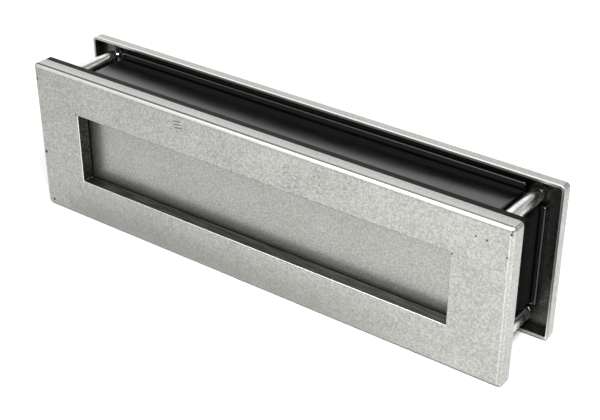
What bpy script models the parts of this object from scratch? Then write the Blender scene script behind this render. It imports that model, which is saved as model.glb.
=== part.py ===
"""Letter plate for a door: two cast plates, a telescopic letter sleeve, two flaps and their fixings.

Units are metres. X runs along the plate, Y runs from the street side (-Y) into the room (+Y), Z is up.
Shapes are written in the plate's own frame: X from the middle, Y as the depth behind the outer
plate's front face, Z from the middle of the plate's height. The empty at the top of the tree moves
that frame so that the world origin is at the bottom centre of the whole letter plate.
"""

import math

import bmesh
import bpy
from mathutils import Matrix, Vector

# Driving dimensions
PLATE_LENGTH = 0.315
PLATE_HEIGHT = 0.092
PLATE_CORNER = 0.0025
CHAMFER_WIDTH = 0.0021
CHAMFER_DEPTH = 0.0015
INNER_PLATE_BOTTOM = -0.0448
DOOR_THICKNESS = 0.036
GAP = 0.0003

# Depths, counted from the outer plate's front face towards the room
OUTER_PLATE_DEPTH = 0.009
FLANGE_DEPTH = 0.0045
INNER_PLATE_DEPTH = 0.0075
FLANGE_BACK = OUTER_PLATE_DEPTH + FLANGE_DEPTH
RIM_FRONT = FLANGE_BACK + DOOR_THICKNESS
TOTAL_DEPTH = RIM_FRONT + INNER_PLATE_DEPTH

# Letter aperture, the same in both plates
APERTURE_LENGTH = 0.249
APERTURE_HEIGHT = 0.0425
APERTURE_MIDDLE = 0.0005
APERTURE_TOP = APERTURE_MIDDLE + APERTURE_HEIGHT / 2
APERTURE_BOTTOM = APERTURE_MIDDLE - APERTURE_HEIGHT / 2

# Walls of the two castings
OUTER_FACE_WALL = 0.0035
OUTER_RIM_WALL = 0.0025
OUTER_COLLAR_WALL = 0.0025
INNER_FACE_WALL = 0.002
INNER_RIM_WALL = 0.0015
INNER_COLLAR_WALL = 0.002
INNER_FLOOR = TOTAL_DEPTH - INNER_FACE_WALL
COLLAR_FRONT = 0.0532
OUTER_POCKET_CORNER = 0.002
INNER_POCKET_CORNER = 0.0012

# Fixing posts and screws, one near each corner
FIXING_X = 0.1425
FIXING_TOP_Z = 0.0365
FIXING_BOTTOM_Z = -0.0332
POST_RADIUS = 0.00385
POST_FRONT = OUTER_PLATE_DEPTH + GAP
POST_BACK = 0.0505
POST_BORE_RADIUS = 0.0024
POST_BORE_END = 0.0175
POST_END_CHAMFER = 0.0004
POST_GROOVE_DEPTH = 0.0005
POST_GROOVE_WIDTH = 0.0005
POST_COLLAR = 0.0009
SPIGOT_RADIUS = 0.0022
SPIGOT_FRONT = 0.0053
SPIGOT_HOLE_RADIUS = 0.0025
SPIGOT_HOLE_FRONT = 0.005
OUTER_BOSS_RADIUS = 0.0055
INNER_BOSS_RADIUS = 0.0052
INNER_BOSS_FRONT = 0.053
SHANK_RADIUS = 0.00205
SHANK_FRONT = 0.019
HEAD_RADIUS = 0.0042
HEAD_BACK = TOTAL_DEPTH - 0.0001
HEAD_RIM = 0.0003
COUNTERSINK_CLEARANCE = 0.0004
SLOT_WIDTH = 0.0011
SLOT_DEPTH = 0.001

# Telescopic sleeve: a box with stepped corners that leave room for the posts
SLEEVE_HALF_X = 0.145
SLEEVE_BOTTOM = -0.037
SLEEVE_TOP = 0.037
SLEEVE_NOTCH_X = 0.136
SLEEVE_NOTCH_BOTTOM = -0.026
SLEEVE_NOTCH_TOP = 0.031
SLEEVE_WALL = 0.0018
SLEEVE_CORNER = 0.0014
SLEEVE_PLAY = 0.0005
OUTER_SLEEVE_BACK = 0.0492
INNER_SLEEVE_FRONT = 0.022
INNER_SLEEVE_WALL = 0.0016
FLANGE_LEFT_X = -0.1572
FLANGE_RIGHT_X = 0.1552
FLANGE_HALF_Z = 0.0455
FLANGE_CORNER = 0.0012
FLANGE_LOW_CORNER = 0.016
RIDGE_HALF_X = 0.1482
RIDGE_HALF_Z = 0.041
RIDGE_NOTCH_X = 0.1358
RIDGE_NOTCH_BOTTOM = -0.0277
RIDGE_NOTCH_TOP = 0.0308
RIDGE_FRONT = 0.0505
RIDGE_ROUNDING = 0.0012
RIDGE_ROUNDING_STEPS = 3

# Outer flap: hangs behind the outer plate and opens inwards
OUTER_FLAP_HALF_X = 0.1285
OUTER_FLAP_THICKNESS = 0.0025
OUTER_FLAP_BOTTOM = -0.0255
OUTER_FLAP_TOP = 0.027
OUTER_FLAP_FRONT = OUTER_PLATE_DEPTH + GAP
OUTER_AXIS_DEPTH = 0.0152
OUTER_AXIS_Z = 0.026
OUTER_BARREL_RADIUS = 0.0032
OUTER_WEB_BOTTOM = 0.0234
PIN_RADIUS = 0.0015
PIN_CLEARANCE = 0.0001
PIN_HOLE_RADIUS = PIN_RADIUS + PIN_CLEARANCE
PIN_END_CHAMFER = 0.0003
OUTER_PIN_HALF = 0.1356
LUG_INNER_X = 0.1305
LUG_OUTER_X = 0.1335
LUG_HALF_Z = 0.004
LUG_BACK = 0.019
LUG_ROOT = 0.002
CLIP_RADIUS = 0.0028
CLIP_THICKNESS = 0.0008

# Torsion springs of the outer flap
SPRING_GAP_INNER_X = 0.070
SPRING_GAP_OUTER_X = 0.084
SPRING_START_X = 0.0735
SPRING_PITCH = 0.0012
SPRING_TURNS = 6
SPRING_MEAN_RADIUS = 0.0026
SPRING_WIRE_RADIUS = 0.0004
SPRING_STEPS_PER_TURN = 14
SPRING_FLAP_LEG = 0.016
SPRING_WALL_LEG = 0.0084
SPRING_WALL_LEG_ANGLE = math.atan2(0.8, 0.6)

# Inner flap: hangs in the inner plate's aperture and opens into the room
INNER_FLAP_HALF_X = 0.1239
INNER_FLAP_THICKNESS = 0.002
INNER_FLAP_RECESS = 0.0006
INNER_FLAP_BACK = TOTAL_DEPTH - INNER_FLAP_RECESS
INNER_FLAP_FRONT = INNER_FLAP_BACK - INNER_FLAP_THICKNESS
INNER_FLAP_BOTTOM = APERTURE_BOTTOM + 0.0005
INNER_BARREL_RADIUS = 0.0031
INNER_AXIS_DEPTH = INNER_FLAP_BACK - INNER_BARREL_RADIUS
INNER_AXIS_Z = APERTURE_TOP - INNER_BARREL_RADIUS - 0.00055
INNER_FLAP_TOP = INNER_AXIS_Z + 0.0011
INNER_PIN_START_X = 0.1125
INNER_PIN_END_X = 0.1272
INNER_LUG_BOTTOM = 0.0143
INNER_LUG_FRONT = 0.0506
STOP_X = 0.060
STOP_HALF_X = 0.006
STOP_HEIGHT = 0.0022
STOP_THICKNESS = 0.0015

ROUND_STEPS = 24
ARC_STEPS = 4
WIDE_ARC_STEPS = 10
OVERCUT = 0.001

PEWTER = ("pewter", (0.50, 0.50, 0.47, 1.0), 0.38, 0.9)
BLACK_PLASTIC = ("black_plastic", (0.012, 0.012, 0.014, 1.0), 0.32, 0.0)
ZINC = ("zinc_plated_steel", (0.62, 0.62, 0.60, 1.0), 0.28, 1.0)
SPRING_STEEL = ("spring_steel", (0.42, 0.42, 0.44, 1.0), 0.25, 1.0)

CORNERS = {
    "top_left": (-FIXING_X, FIXING_TOP_Z),
    "top_right": (FIXING_X, FIXING_TOP_Z),
    "bottom_left": (-FIXING_X, FIXING_BOTTOM_Z),
    "bottom_right": (FIXING_X, FIXING_BOTTOM_Z),
}
SIDES = {"left": -1, "right": 1}
SLEEVE_SIZES = (
    SLEEVE_HALF_X, SLEEVE_BOTTOM, SLEEVE_TOP, SLEEVE_NOTCH_X, SLEEVE_NOTCH_BOTTOM, SLEEVE_NOTCH_TOP
)
RIDGE_SIZES = (
    RIDGE_HALF_X, -RIDGE_HALF_Z, RIDGE_HALF_Z, RIDGE_NOTCH_X, RIDGE_NOTCH_BOTTOM, RIDGE_NOTCH_TOP
)


# Scene helpers

def clear_scene():
    """Removes every object that the file starts with."""
    for obj in list(bpy.data.objects):
        bpy.data.objects.remove(obj, do_unlink=True)


def collection(name):
    """A new collection in the scene."""
    made = bpy.data.collections.new(name)
    bpy.context.scene.collection.children.link(made)
    return made


def empty(name, parent, location):
    """An empty that carries a group of pieces; a hinge's empty sits on the hinge's axis."""
    made = bpy.data.objects.new(name, None)
    made.empty_display_size = 0.01
    made.parent = parent
    made.location = location
    PIECES.objects.link(made)
    return made


def principled(look):
    """A material with one Principled BSDF, made once for each look."""
    name, colour, roughness, metallic = look
    found = bpy.data.materials.get(name)
    if found:
        return found
    made = bpy.data.materials.new(name)
    made.use_nodes = True
    shader = made.node_tree.nodes["Principled BSDF"]
    shader.inputs["Base Color"].default_value = colour
    shader.inputs["Roughness"].default_value = roughness
    shader.inputs["Metallic"].default_value = metallic
    return made


def shade_round(mesh):
    """Smooth shading with the sharp edges kept."""
    mesh.shade_smooth()
    mesh.set_sharp_from_angle(angle=math.radians(35))


def as_piece(obj, look, parent):
    """Puts a finished shape on its parent, with its material."""
    obj.data.materials.clear()
    obj.data.materials.append(principled(look))
    hang(obj, parent)


def hang(obj, parent):
    """Parents a shape, and moves its origin to its parent's place."""
    offset = Vector((0, 0, 0)) if parent is None else parent.location
    turn = obj.rotation_euler.to_matrix().to_4x4()
    obj.data.transform(turn.inverted() @ Matrix.Translation(-offset) @ turn)
    obj.parent = parent


def boolean(obj, tool, operation):
    """Cuts or joins a shape with a tool, which stays in the cutters' collection."""
    modifier = obj.modifiers.new(tool.name, "BOOLEAN")
    modifier.operation = operation
    modifier.solver = "EXACT"
    modifier.object = tool
    tool.hide_render = True
    tool.display_type = "WIRE"
    PIECES.objects.unlink(tool)
    CUTTERS.objects.link(tool)


def shape(obj, look, parent, cuts=(), joins=(), late_cuts=()):
    """Finishes a piece: cuts it, joins its extra volumes, cuts again and hangs it on its parent."""
    as_piece(obj, look, parent)
    steps = [(tool, "DIFFERENCE") for tool in cuts]
    steps += [(tool, "UNION") for tool in joins]
    steps += [(tool, "DIFFERENCE") for tool in late_cuts]
    for tool, operation in steps:
        hang(tool, parent)
        boolean(obj, tool, operation)
    return obj


# Shapes

def mesh_object(name, form):
    """An object from a bmesh, shaded smooth with sharp edges."""
    mesh = bpy.data.meshes.new(name)
    form.to_mesh(mesh)
    form.free()
    shade_round(mesh)
    made = bpy.data.objects.new(name, mesh)
    PIECES.objects.link(made)
    return made


def block(name, low, high):
    """A box between two corners."""
    low = Vector(low)
    high = Vector(high)
    form = bmesh.new()
    bmesh.ops.create_cube(form, size=1.0)
    bmesh.ops.scale(form, vec=high - low, verts=form.verts)
    bmesh.ops.translate(form, vec=(low + high) / 2, verts=form.verts)
    return mesh_object(name, form)


def loft(name, layers):
    """A solid through a stack of outlines with equal point counts, each at its own depth."""
    form = bmesh.new()
    rings = []
    for outline, depth in layers:
        rings.append([form.verts.new((x, depth, z)) for x, z in outline])
    for first, second in zip(rings, rings[1:]):
        for index, vert in enumerate(first):
            form.faces.new((first[index - 1], vert, second[index], second[index - 1]))
    form.faces.new(rings[0])
    form.faces.new(rings[-1])
    bmesh.ops.recalc_face_normals(form, faces=form.faces)
    return mesh_object(name, form)


def plate_blank(name, bottom, door_side, face_side):
    """A solid plate with rounded corners, and a chamfer round the face that is seen in use."""
    inward = CHAMFER_DEPTH if face_side < door_side else -CHAMFER_DEPTH
    half_x = PLATE_LENGTH / 2
    top = PLATE_HEIGHT / 2
    full = rounded(rectangle(-half_x, half_x, bottom, top), PLATE_CORNER)
    face = rounded(
        rectangle(
            CHAMFER_WIDTH - half_x, half_x - CHAMFER_WIDTH, bottom + CHAMFER_WIDTH, top - CHAMFER_WIDTH
        ),
        PLATE_CORNER - CHAMFER_WIDTH,
    )
    return loft(name, [(full, door_side), (full, face_side + inward), (face, face_side)])


def rod(name, radius, start, end):
    """A plain round bar between two points, for holes and barrels."""
    start = Vector(start)
    end = Vector(end)
    span = end - start
    form = bmesh.new()
    bmesh.ops.create_cone(
        form, cap_ends=True, segments=ROUND_STEPS, radius1=radius, radius2=radius, depth=span.length
    )
    turn = Vector((0, 0, 1)).rotation_difference(span).to_matrix().to_4x4()
    bmesh.ops.transform(form, matrix=Matrix.Translation((start + end) / 2) @ turn, verts=form.verts)
    return mesh_object(name, form)


def turned(name, profile, location, tilt, closed=False):
    """A turned piece: a profile of (radius, height) about local Z, from the top down its outer side."""
    count = len(profile)
    edges = [(i, i + 1) for i in range(count - 1)]
    if closed:
        edges.append((count - 1, 0))
    mesh = bpy.data.meshes.new(name)
    mesh.from_pydata([(radius, 0, height) for radius, height in profile], edges, [])
    made = bpy.data.objects.new(name, mesh)
    made.location = location
    made.rotation_euler = tilt
    PIECES.objects.link(made)
    turn = made.modifiers.new("turn", "SCREW")
    turn.steps = ROUND_STEPS
    turn.render_steps = ROUND_STEPS
    turn.merge_threshold = 0.00001
    turn.use_merge_vertices = True
    turn.use_smooth_shade = True
    return made


def arc_corner(previous, corner, following, radius, steps):
    """The points of a fillet at one corner of an outline."""
    corner = Vector(corner)
    towards_previous = (Vector(previous) - corner).normalized()
    towards_following = (Vector(following) - corner).normalized()
    centre = corner + (towards_previous + towards_following) * radius
    points = []
    for step in range(steps + 1):
        angle = math.pi / 2 * step / steps
        offset = -towards_following * math.cos(angle) - towards_previous * math.sin(angle)
        points.append(centre + offset * radius)
    return points


def rounded(outline, radius, low_radius=None):
    """An outline of right angles with every corner filleted; its first two can have a wide fillet."""
    points = []
    for index, corner in enumerate(outline):
        previous = outline[index - 1]
        following = outline[(index + 1) % len(outline)]
        if low_radius and index < 2:
            points += arc_corner(previous, corner, following, low_radius, WIDE_ARC_STEPS)
        else:
            points += arc_corner(previous, corner, following, radius, ARC_STEPS)
    return points


def rectangle(low_x, high_x, low_z, high_z):
    """A rectangle, from its low left corner."""
    return [(low_x, low_z), (high_x, low_z), (high_x, high_z), (low_x, high_z)]


def around_aperture(margin):
    """The letter aperture's rectangle, larger by a margin on every side."""
    half_x = APERTURE_LENGTH / 2 + margin
    return rectangle(-half_x, half_x, APERTURE_BOTTOM - margin, APERTURE_TOP + margin)


def stepped(half_x, bottom, top, notch_x, notch_bottom, notch_top):
    """A rectangle whose four corners step in, which leaves room for the posts."""
    return [
        (-notch_x, bottom), (notch_x, bottom), (notch_x, notch_bottom), (half_x, notch_bottom),
        (half_x, notch_top), (notch_x, notch_top), (notch_x, top), (-notch_x, top),
        (-notch_x, notch_top), (-half_x, notch_top), (-half_x, notch_bottom), (-notch_x, notch_bottom),
    ]


def smaller(sizes, wall):
    """The sizes of a stepped outline that lies inside another one by a wall."""
    half_x, bottom, top, notch_x, notch_bottom, notch_top = sizes
    return (
        half_x - wall, bottom + wall, top - wall, notch_x - wall, notch_bottom + wall, notch_top - wall
    )


def circle(x, z, radius):
    """A round outline."""
    turn = 2 * math.pi / ROUND_STEPS
    return [(x + radius * math.cos(turn * i), z + radius * math.sin(turn * i)) for i in range(ROUND_STEPS)]


def slab(name, outlines, front, back):
    """A flat piece between two depths: the first outline is its rim and the others are its holes."""
    curve = bpy.data.curves.new(name, "CURVE")
    curve.dimensions = "2D"
    curve.fill_mode = "BOTH"
    curve.extrude = (back - front) / 2
    for outline in outlines:
        spline = curve.splines.new("POLY")
        spline.points.add(len(outline) - 1)
        for point, (x, z) in zip(spline.points, outline):
            point.co = (x, z, 0, 1)
        spline.use_cyclic_u = True
    guide = bpy.data.objects.new(name, curve)
    guide.location.y = (front + back) / 2
    guide.rotation_euler.x = math.pi / 2
    return mesh_from_curve(guide, name)


def mesh_from_curve(guide, name):
    """Turns a curve object into a closed mesh in the plate's frame."""
    PIECES.objects.link(guide)
    graph = bpy.context.evaluated_depsgraph_get()
    mesh = bpy.data.meshes.new_from_object(guide.evaluated_get(graph))
    place = guide.matrix_world.copy()
    bpy.data.objects.remove(guide, do_unlink=True)
    form = bmesh.new()
    form.from_mesh(mesh)
    bpy.data.meshes.remove(mesh)
    bmesh.ops.transform(form, matrix=place, verts=form.verts)
    bmesh.ops.remove_doubles(form, verts=form.verts, dist=0.000001)
    bmesh.ops.recalc_face_normals(form, faces=form.faces)
    return mesh_object(name, form)


def tube_outlines(sizes, wall):
    """The outer and inner outlines of one sleeve."""
    inside = stepped(*smaller(sizes, wall))
    return [rounded(stepped(*sizes), SLEEVE_CORNER), rounded(inside, SLEEVE_CORNER / 2)]


# Outer casting

def outer_plate(parent):
    """The street-side casting: chamfered face, hollow back, aperture collar, bosses and hinge lugs."""
    plate = plate_blank("outer_plate", -PLATE_HEIGHT / 2, OUTER_PLATE_DEPTH, 0)
    rim_x = PLATE_LENGTH / 2 - OUTER_RIM_WALL
    rim_z = PLATE_HEIGHT / 2 - OUTER_RIM_WALL
    rim = rounded(rectangle(-rim_x, rim_x, -rim_z, rim_z), OUTER_POCKET_CORNER)
    collar = around_aperture(OUTER_COLLAR_WALL)
    bosses = [circle(x, z, OUTER_BOSS_RADIUS) for x, z in CORNERS.values()]
    pocket = slab(
        "outer_pocket", [rim, collar] + bosses, OUTER_FACE_WALL, OUTER_PLATE_DEPTH + OVERCUT
    )
    aperture = block(
        "outer_aperture",
        (-APERTURE_LENGTH / 2, -OVERCUT, APERTURE_BOTTOM),
        (APERTURE_LENGTH / 2, OUTER_PLATE_DEPTH + OVERCUT, APERTURE_TOP),
    )
    lugs = []
    for side, sign in SIDES.items():
        ends = sorted((sign * LUG_INNER_X, sign * LUG_OUTER_X))
        lugs.append(block(
            "outer_lug_" + side,
            (ends[0], LUG_ROOT, OUTER_AXIS_Z - LUG_HALF_Z),
            (ends[1], LUG_BACK, OUTER_AXIS_Z + LUG_HALF_Z - GAP),
        ))
    pin_hole = rod(
        "outer_lug_holes", PIN_HOLE_RADIUS,
        (-OUTER_PIN_HALF, OUTER_AXIS_DEPTH, OUTER_AXIS_Z),
        (OUTER_PIN_HALF, OUTER_AXIS_DEPTH, OUTER_AXIS_Z),
    )
    holes = [pin_hole]
    for corner, (x, z) in CORNERS.items():
        holes.append(rod(
            "spigot_hole_" + corner, SPIGOT_HOLE_RADIUS,
            (x, SPIGOT_HOLE_FRONT, z),
            (x, OUTER_PLATE_DEPTH + OVERCUT, z),
        ))
    return shape(plate, PEWTER, parent, cuts=[aperture, pocket], joins=lugs, late_cuts=holes)


def outer_sleeve(parent):
    """The black moulding behind the outer plate: a flange with half of the telescopic sleeve."""
    rim = rounded(
        rectangle(FLANGE_LEFT_X, FLANGE_RIGHT_X, -FLANGE_HALF_Z, FLANGE_HALF_Z),
        FLANGE_CORNER, FLANGE_LOW_CORNER,
    )
    hole = rounded(stepped(*smaller(SLEEVE_SIZES, SLEEVE_WALL / 2)), SLEEVE_CORNER)
    post_holes = [circle(x, z, POST_RADIUS + GAP) for x, z in CORNERS.values()]
    flange = slab(
        "outer_sleeve", [rim, hole] + post_holes, OUTER_PLATE_DEPTH + GAP, FLANGE_BACK
    )
    tube = slab(
        "outer_sleeve_tube",
        tube_outlines(SLEEVE_SIZES, SLEEVE_WALL),
        OUTER_PLATE_DEPTH + GAP + OVERCUT, OUTER_SLEEVE_BACK,
    )
    return shape(flange, BLACK_PLASTIC, parent, joins=[tube])


def outer_flap(parent):
    """The street-side flap, a plate with a hinge barrel that is broken for the two springs."""
    back = OUTER_FLAP_FRONT + OUTER_FLAP_THICKNESS
    flap = block(
        "outer_flap",
        (-OUTER_FLAP_HALF_X, OUTER_FLAP_FRONT, OUTER_FLAP_BOTTOM),
        (OUTER_FLAP_HALF_X, back, OUTER_FLAP_TOP),
    )
    web = block(
        "outer_flap_web",
        (-OUTER_FLAP_HALF_X + GAP, back - OUTER_FLAP_THICKNESS / 2, OUTER_WEB_BOTTOM),
        (OUTER_FLAP_HALF_X - GAP, OUTER_AXIS_DEPTH, OUTER_FLAP_TOP + GAP),
    )
    axis_ends = [(x * OUTER_FLAP_HALF_X, OUTER_AXIS_DEPTH, OUTER_AXIS_Z) for x in (-1, 1)]
    barrel = rod("outer_flap_barrel", OUTER_BARREL_RADIUS, *axis_ends)
    bore = rod(
        "outer_flap_bore", PIN_HOLE_RADIUS,
        (-OUTER_FLAP_HALF_X - OVERCUT, OUTER_AXIS_DEPTH, OUTER_AXIS_Z),
        (OUTER_FLAP_HALF_X + OVERCUT, OUTER_AXIS_DEPTH, OUTER_AXIS_Z),
    )
    breaks = []
    for side, sign in SIDES.items():
        ends = sorted((sign * SPRING_GAP_INNER_X, sign * SPRING_GAP_OUTER_X))
        breaks.append(block(
            "spring_gap_" + side,
            (ends[0], back + GAP / 3, OUTER_WEB_BOTTOM - OVERCUT),
            (ends[1], OUTER_AXIS_DEPTH + 2 * OUTER_BARREL_RADIUS, OUTER_AXIS_Z + 2 * OUTER_BARREL_RADIUS),
        ))
    return shape(flap, PEWTER, parent, joins=[web, barrel], late_cuts=[bore] + breaks)


def pin_profile(length):
    """A plain pin with chamfered ends, from its far end down to its near end."""
    return [
        (0, length), (PIN_RADIUS - PIN_END_CHAMFER, length), (PIN_RADIUS, length - PIN_END_CHAMFER),
        (PIN_RADIUS, PIN_END_CHAMFER), (PIN_RADIUS - PIN_END_CHAMFER, 0), (0, 0),
    ]


def outer_hinge_fittings(parent):
    """The long hinge pin of the outer flap and the two push-on clips that keep it in its lugs."""
    pin = turned(
        "outer_flap_pin", pin_profile(2 * OUTER_PIN_HALF),
        (-OUTER_PIN_HALF, OUTER_AXIS_DEPTH, OUTER_AXIS_Z), (0, math.pi / 2, 0),
    )
    as_piece(pin, ZINC, parent)
    clip_profile = [
        (PIN_HOLE_RADIUS, CLIP_THICKNESS / 2), (CLIP_RADIUS, CLIP_THICKNESS / 2),
        (CLIP_RADIUS, -CLIP_THICKNESS / 2), (PIN_HOLE_RADIUS, -CLIP_THICKNESS / 2),
    ]
    clip_x = LUG_OUTER_X + GAP + CLIP_THICKNESS / 2
    for side, sign in SIDES.items():
        clip = turned(
            "outer_pin_clip_" + side, clip_profile,
            (sign * clip_x, OUTER_AXIS_DEPTH, OUTER_AXIS_Z), (0, math.pi / 2, 0), closed=True,
        )
        as_piece(clip, SPRING_STEEL, parent)


def spring_route(sign):
    """The wire of one torsion spring, from the flap's leg round the coil to the sleeve's leg."""
    start_angle = math.pi
    end_angle = math.pi / 2 + SPRING_WALL_LEG_ANGLE
    sweep = start_angle - end_angle + 2 * math.pi * SPRING_TURNS
    steps = round(sweep / (2 * math.pi) * SPRING_STEPS_PER_TURN)
    centre = Vector((sign * SPRING_START_X, OUTER_AXIS_DEPTH, OUTER_AXIS_Z))
    coil = []
    for step in range(steps + 1):
        angle = start_angle - sweep * step / steps
        along = sign * SPRING_PITCH * sweep / (2 * math.pi) * step / steps
        offset = Vector((0, math.cos(angle), math.sin(angle))) * SPRING_MEAN_RADIUS
        coil.append(centre + offset + Vector((along, 0, 0)))
    leg_direction = Vector((0, math.cos(SPRING_WALL_LEG_ANGLE), math.sin(SPRING_WALL_LEG_ANGLE)))
    flap_end = coil[0] - Vector((0, 0, SPRING_FLAP_LEG))
    wall_end = coil[-1] + leg_direction * SPRING_WALL_LEG
    return [flap_end] + coil + [wall_end]


def outer_flap_spring(side, sign, parent):
    """One torsion spring: a leg on the flap's back, a coil round the pin, a leg under the sleeve's top."""
    curve = bpy.data.curves.new("outer_flap_spring_" + side, "CURVE")
    curve.dimensions = "3D"
    curve.bevel_depth = SPRING_WIRE_RADIUS
    curve.bevel_resolution = 1
    curve.use_fill_caps = True
    route = spring_route(sign)
    spline = curve.splines.new("POLY")
    spline.points.add(len(route) - 1)
    for point, place in zip(spline.points, route):
        point.co = (*place, 1)
    guide = bpy.data.objects.new("spring_guide", curve)
    spring = mesh_from_curve(guide, "outer_flap_spring_" + side)
    as_piece(spring, SPRING_STEEL, parent)


# Fixings

def sleeve_post(corner, x, z, parent):
    """A post that stands on the outer plate: a spigot at one end, a bore for a screw at the other."""
    groove_back = POST_BACK - POST_COLLAR
    groove_front = groove_back - POST_GROOVE_WIDTH
    profile = [
        (0, POST_BORE_END), (POST_BORE_RADIUS, POST_BORE_END),
        (POST_BORE_RADIUS, POST_BACK), (POST_RADIUS - POST_END_CHAMFER, POST_BACK),
        (POST_RADIUS, POST_BACK - POST_END_CHAMFER),
        (POST_RADIUS, groove_back), (POST_RADIUS - POST_GROOVE_DEPTH, groove_back),
        (POST_RADIUS - POST_GROOVE_DEPTH, groove_front), (POST_RADIUS, groove_front),
        (POST_RADIUS, POST_FRONT), (SPIGOT_RADIUS, POST_FRONT),
        (SPIGOT_RADIUS, SPIGOT_FRONT), (0, SPIGOT_FRONT),
    ]
    post = turned(
        "sleeve_post_" + corner, profile, (x, 0, z), (-math.pi / 2, 0, 0)
    )
    as_piece(post, ZINC, parent)


def fixing_screw(corner, x, z, parent):
    """A slotted countersunk machine screw that clamps the inner plate to its post."""
    head_low = HEAD_BACK - HEAD_RIM
    neck = head_low - (HEAD_RADIUS - SHANK_RADIUS)
    profile = [
        (0, HEAD_BACK), (HEAD_RADIUS, HEAD_BACK), (HEAD_RADIUS, head_low), (SHANK_RADIUS, neck),
        (SHANK_RADIUS, SHANK_FRONT + PIN_END_CHAMFER),
        (SHANK_RADIUS - PIN_END_CHAMFER, SHANK_FRONT), (0, SHANK_FRONT),
    ]
    screw = turned(
        "fixing_screw_" + corner, profile, (x, 0, z), (-math.pi / 2, 0, 0)
    )
    as_piece(screw, ZINC, parent)
    slot = block(
        "screw_slot_" + corner,
        (x - HEAD_RADIUS - OVERCUT, HEAD_BACK - SLOT_DEPTH, z - SLOT_WIDTH / 2),
        (x + HEAD_RADIUS + OVERCUT, HEAD_BACK + OVERCUT, z + SLOT_WIDTH / 2),
    )
    hang(slot, parent)
    boolean(screw, slot, "DIFFERENCE")


# Inner casting

def countersink(corner, x, z):
    """The cutter of one countersunk screw hole in the inner plate."""
    head_low = HEAD_BACK - HEAD_RIM
    wide = HEAD_RADIUS + COUNTERSINK_CLEARANCE
    narrow = SHANK_RADIUS + COUNTERSINK_CLEARANCE
    reach = TOTAL_DEPTH + OVERCUT
    profile = [
        (0, reach), (wide + reach - head_low, reach), (narrow, head_low - (wide - narrow)),
        (narrow, INNER_BOSS_FRONT - OVERCUT), (0, INNER_BOSS_FRONT - OVERCUT),
    ]
    return turned(
        "countersink_" + corner, profile, (x, 0, z), (-math.pi / 2, 0, 0)
    )


def inner_plate(parent):
    """The room-side casting: a tray whose rim faces the door, with collar, lugs, bosses and stops."""
    plate = plate_blank("inner_plate", INNER_PLATE_BOTTOM, RIM_FRONT, TOTAL_DEPTH)
    rim_x = PLATE_LENGTH / 2 - INNER_RIM_WALL
    rim_bottom = INNER_PLATE_BOTTOM + INNER_RIM_WALL
    rim_top = PLATE_HEIGHT / 2 - INNER_RIM_WALL
    rim = rounded(rectangle(-rim_x, rim_x, rim_bottom, rim_top), INNER_POCKET_CORNER)
    collar = around_aperture(INNER_COLLAR_WALL)
    bosses = [circle(x, z, INNER_BOSS_RADIUS) for x, z in CORNERS.values()]
    front = RIM_FRONT - OVERCUT
    pocket = slab("inner_pocket", [rim, collar] + bosses, front, INNER_FLOOR)
    aperture = block(
        "inner_aperture",
        (-APERTURE_LENGTH / 2, front, APERTURE_BOTTOM),
        (APERTURE_LENGTH / 2, TOTAL_DEPTH + OVERCUT, APERTURE_TOP),
    )
    lug_x = APERTURE_LENGTH / 2 - OVERCUT
    margin = INNER_COLLAR_WALL + OVERCUT
    low_collar = block(
        "low_collar",
        (-APERTURE_LENGTH / 2 - margin, front, APERTURE_BOTTOM - margin),
        (APERTURE_LENGTH / 2 + margin, COLLAR_FRONT, INNER_LUG_BOTTOM),
    )
    top_collar = block(
        "top_collar",
        (-lug_x, front, INNER_LUG_BOTTOM - OVERCUT),
        (lug_x, COLLAR_FRONT, APERTURE_TOP + margin),
    )
    lug_tips = block(
        "lug_tips",
        (-APERTURE_LENGTH / 2 - margin, front - OVERCUT, INNER_LUG_BOTTOM - 2 * OVERCUT),
        (APERTURE_LENGTH / 2 + margin, INNER_LUG_FRONT, APERTURE_TOP + 2 * margin),
    )
    cuts = [aperture, pocket, low_collar, top_collar, lug_tips]
    for corner, (x, z) in CORNERS.items():
        reach = INNER_BOSS_RADIUS + GAP
        cuts.append(block(
            "boss_front_" + corner,
            (x - reach, front - OVERCUT, z - reach),
            (x + reach, INNER_BOSS_FRONT, z + reach),
        ))
    stops = []
    stop_back = INNER_FLAP_FRONT - GAP
    for side, sign in SIDES.items():
        stops.append(block(
            "flap_stop_" + side,
            (sign * STOP_X - STOP_HALF_X, stop_back - STOP_THICKNESS, APERTURE_BOTTOM - OVERCUT),
            (sign * STOP_X + STOP_HALF_X, stop_back, APERTURE_BOTTOM + STOP_HEIGHT),
        ))
    holes = [countersink(corner, x, z) for corner, (x, z) in CORNERS.items()]
    holes.append(rod(
        "inner_lug_holes", PIN_HOLE_RADIUS,
        (-APERTURE_LENGTH / 2 - margin, INNER_AXIS_DEPTH, INNER_AXIS_Z),
        (APERTURE_LENGTH / 2 + margin, INNER_AXIS_DEPTH, INNER_AXIS_Z),
    ))
    return shape(plate, PEWTER, parent, cuts=cuts, joins=stops, late_cuts=holes)


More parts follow.
